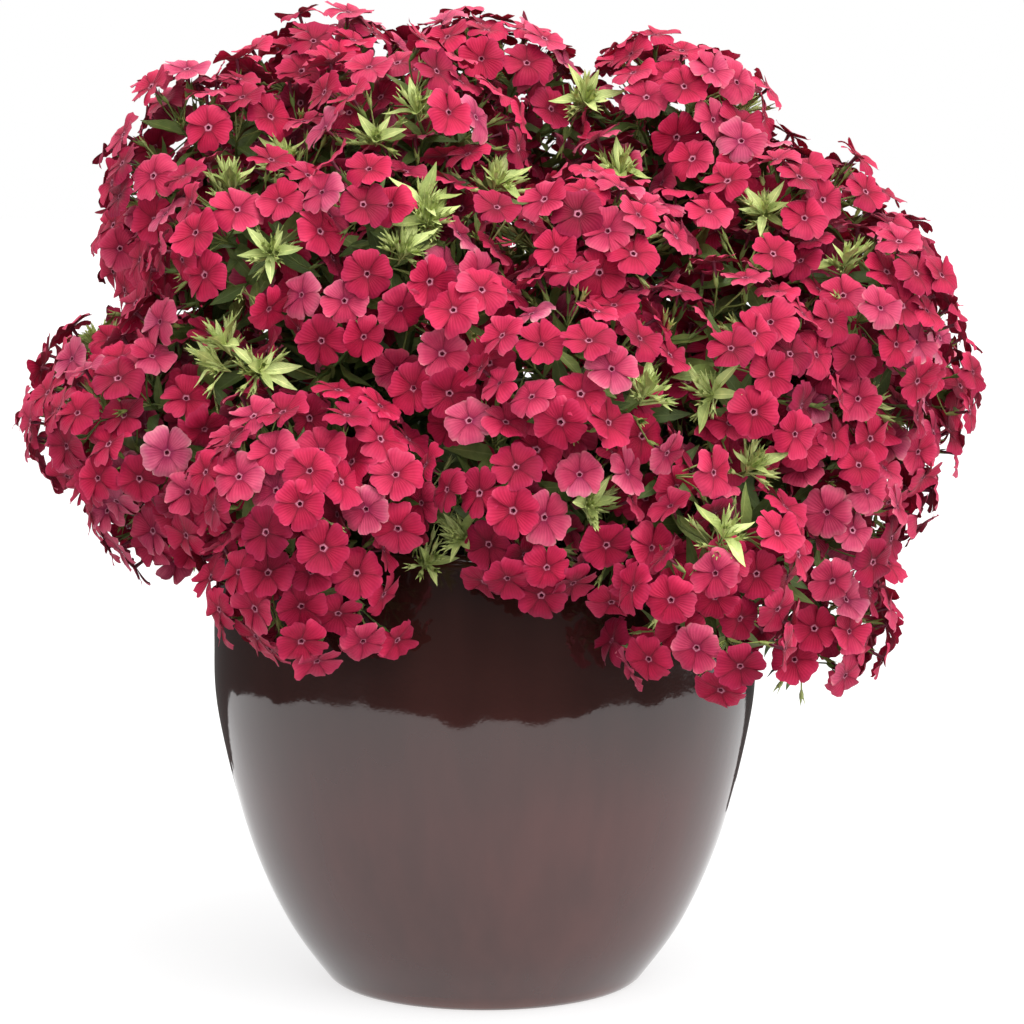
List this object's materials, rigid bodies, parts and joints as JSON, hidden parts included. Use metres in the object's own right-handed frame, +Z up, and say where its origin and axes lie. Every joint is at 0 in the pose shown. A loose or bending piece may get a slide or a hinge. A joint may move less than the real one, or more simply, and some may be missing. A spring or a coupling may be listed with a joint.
{
  "type": "potted phlox plant",
  "caption": "Bushy flowering phlox with crimson flower heads over narrow green leaves, in a round glossy dark brown glazed pot with a rolled lip.",
  "frame": {"origin": "centre of the pot's flat base, on the surface it stands on", "axes": "+Z up along the pot's axis, -Y towards the front of the plant as pictured, +X to the right seen from the front"},
  "size_m": [0.5374, 0.4756, 0.5434],
  "materials": {
    "glaze": "high-gloss dark brown glaze, slightly red, smooth",
    "soil": "loose, matte, dark brown potting mix of composted bark and peat with pale grains",
    "petals": "soft, velvety crimson petals with fine radial veins, darker at their bases, pale eye",
    "foliage": "satin mid to pale green leaves and stems, paler along the midribs"
  },
  "bodies": {
    "root": {"pot": "glaze", "soil": "soil", "flower_head_01": "petals", "flower_head_02": "petals", "flower_head_03": "petals", "flower_head_04": "petals", "flower_head_05": "petals", "flower_head_06": "petals", "flower_head_07": "petals", "flower_head_08": "petals", "flower_head_09": "petals", "flower_head_10": "petals", "flower_head_11": "petals", "flower_head_12": "petals", "flower_head_13": "petals", "flower_head_14": "petals", "flower_head_15": "petals", "flower_head_16": "petals", "flower_head_17": "petals", "flower_head_18": "petals", "flower_head_19": "petals", "flower_head_20": "petals", "flower_head_21": "petals", "flower_head_22": "petals", "flower_head_23": "petals", "flower_head_24": "petals", "flower_head_25": "petals", "flower_head_26": "petals", "flower_head_27": "petals", "flower_head_28": "petals", "flower_head_29": "petals", "flower_head_30": "petals", "flower_head_31": "petals", "flower_head_32": "petals", "flower_head_33": "petals", "flower_head_34": "petals", "flower_head_35": "petals", "flower_head_36": "petals", "flower_head_37": "petals", "flower_head_38": "petals", "flower_head_39": "petals", "flower_head_40": "petals", "flower_head_41": "petals", "leafy_stem_01": "foliage", "leafy_stem_02": "foliage", "leafy_stem_03": "foliage", "leafy_stem_04": "foliage", "leafy_stem_05": "foliage", "leafy_stem_06": "foliage", "leafy_stem_07": "foliage", "leafy_stem_08": "foliage"}
  },
  "joints": []
}
